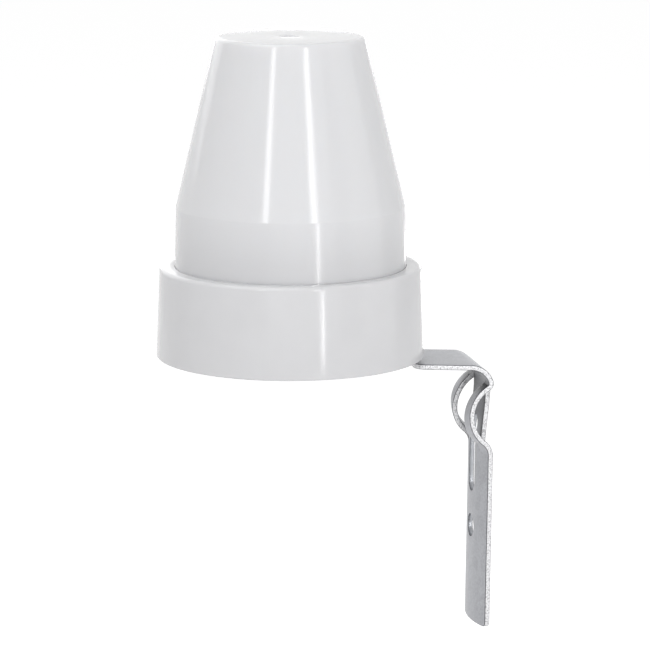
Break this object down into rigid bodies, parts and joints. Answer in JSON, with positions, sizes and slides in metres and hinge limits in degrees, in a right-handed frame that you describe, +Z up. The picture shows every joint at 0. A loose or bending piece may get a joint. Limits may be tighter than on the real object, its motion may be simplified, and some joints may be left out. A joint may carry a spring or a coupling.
{
  "type": "photocell sensor",
  "caption": "Dusk-to-dawn light sensor switch: milky conical cover on a round base, relay board inside, and a bent galvanised wall or pole bracket.",
  "frame": {"origin": "centre of the bracket's round fixing hole, in the middle of the sheet", "axes": "+Z up along the sensor's axis, +X out of the bracket's hollow outer face towards the wall or pole, the head on the -X side"},
  "size_m": [0.0672, 0.054, 0.121],
  "materials": {
    "cover_plastic": "glossy milky polypropylene, slightly translucent",
    "base_plastic": "glossy white moulded polypropylene",
    "rubber": "matt moulded rubber",
    "zinc_sheet": "galvanised sheet with bright sheared edges",
    "zinc_hardware": "bright zinc plating",
    "board": "paper phenolic laminate with a printed back",
    "solder": "bright solder",
    "relay_case": "clear, blue-tinted polycarbonate",
    "relay_base": "dark blue moulded base",
    "tinned_pin": "tinned copper alloy",
    "coil": "enamelled copper winding between moulded flanges",
    "iron": "plated soft iron",
    "contact_alloy": "contact strip with silver buttons",
    "sensor_face": "resin-coated ceramic with a zigzag track",
    "sleeve": "woven glass sleeve",
    "film_box": "moulded box, sealed with resin",
    "can_sleeve": "shrunk sleeve over an aluminium can",
    "moulding_black": "moulded epoxy",
    "glass_orange": "glass body with a black band",
    "resistor_body": "lacquered body with colour bands",
    "varistor_blue": "dipped epoxy"
  },
  "bodies": {
    "bracket_arm": {"bracket": "zinc_sheet"},
    "head": {"base_cup": "base_plastic", "cover_gasket": "rubber", "cable_grommet": "rubber", "bracket_screw": "zinc_hardware", "bracket_washer": "zinc_hardware", "spring_washer": "zinc_hardware", "bracket_nut": "zinc_hardware", "circuit_board": "board", "board_screws": "zinc_hardware", "relay_case": "relay_case", "relay_base": "relay_base", "relay_pins": "tinned_pin", "relay_coil": "coil", "relay_yoke": "iron", "relay_contacts": "contact_alloy", "light_sensor": "sensor_face", "sensor_sleeves": "sleeve", "film_capacitor": "film_box", "smoothing_capacitor": "can_sleeve", "delay_capacitor": "can_sleeve", "rectifier_diodes": "moulding_black", "zener_diode": "glass_orange", "transistor": "moulding_black", "resistors": "resistor_body", "varistor": "varistor_blue", "solder_joints": "solder"},
    "cover": {"dome_cover": "cover_plastic"},
    "armature": {"relay_armature": "iron"}
  },
  "joints": [
    {"name": "head_swivel", "type": "hinge", "parent": "bracket_arm", "child": "head", "pos_m": [-0.02594, 0, 0.0428], "axis": [0, 0, 1], "range_deg": [-45, 45]},
    {"name": "cover_lift", "type": "slide", "parent": "head", "child": "cover", "axis": [0, 0, 1], "range_m": [0, 0.04]},
    {"name": "armature_tilt", "type": "hinge", "parent": "head", "child": "armature", "pos_m": [-0.0444, 0.0074, 0.06488], "axis": [1, 0, 0], "range_deg": [0, 4.5], "stiffness_Nm_per_rad": 0.004, "springref_deg": -20.05}
  ]
}
